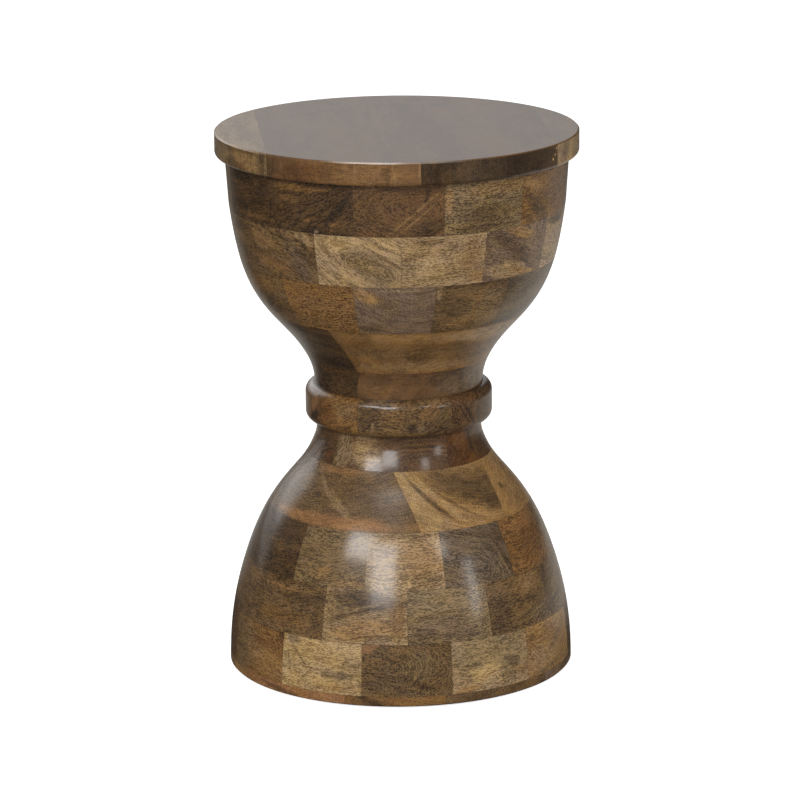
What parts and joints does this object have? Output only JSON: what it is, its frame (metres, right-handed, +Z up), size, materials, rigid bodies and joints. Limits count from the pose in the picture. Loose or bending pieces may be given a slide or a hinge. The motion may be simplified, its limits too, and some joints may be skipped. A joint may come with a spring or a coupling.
{
  "type": "side table",
  "caption": "Round side table turned from glued wood blocks: a bowl on a bell with a collar at the waist and a flat round top.",
  "frame": {"origin": "on the floor, on the turning axis, at the middle of the base", "axes": "+Z up along the turning axis, -Y towards the front of the picture's view, +X to its right"},
  "size_m": [0.3316, 0.3316, 0.502],
  "materials": {
    "top_wood": "satin lacquer",
    "bowl_wood": "satin lacquer",
    "collar_wood": "satin lacquer",
    "bell_wood": "satin lacquer",
    "base_wood": "satin lacquer",
    "dowel_wood": "sanded, bare",
    "pad_felt": "felt"
  },
  "bodies": {
    "root": {"top_board_1": "top_wood", "top_board_2": "top_wood", "top_board_3": "top_wood", "top_board_4": "top_wood", "bowl_course_1": "bowl_wood", "bowl_course_2": "bowl_wood", "bowl_course_3": "bowl_wood", "bowl_floor_board_1": "bowl_wood", "bowl_floor_board_2": "bowl_wood", "bowl_floor_board_3": "bowl_wood", "upper_neck_board_1": "bowl_wood", "upper_neck_board_2": "bowl_wood", "collar_ring": "collar_wood", "waist_dowel": "dowel_wood", "lower_neck_board_1": "bell_wood", "lower_neck_board_2": "bell_wood", "shoulder_board_1": "bell_wood", "shoulder_board_2": "bell_wood", "shoulder_board_3": "bell_wood", "bell_course_1": "bell_wood", "bell_course_2": "bell_wood", "bell_course_3": "bell_wood", "base_board_1": "base_wood", "base_board_2": "base_wood", "base_board_3": "base_wood", "base_board_4": "base_wood", "base_board_5": "base_wood", "floor_pads": "pad_felt"}
  },
  "joints": []
}
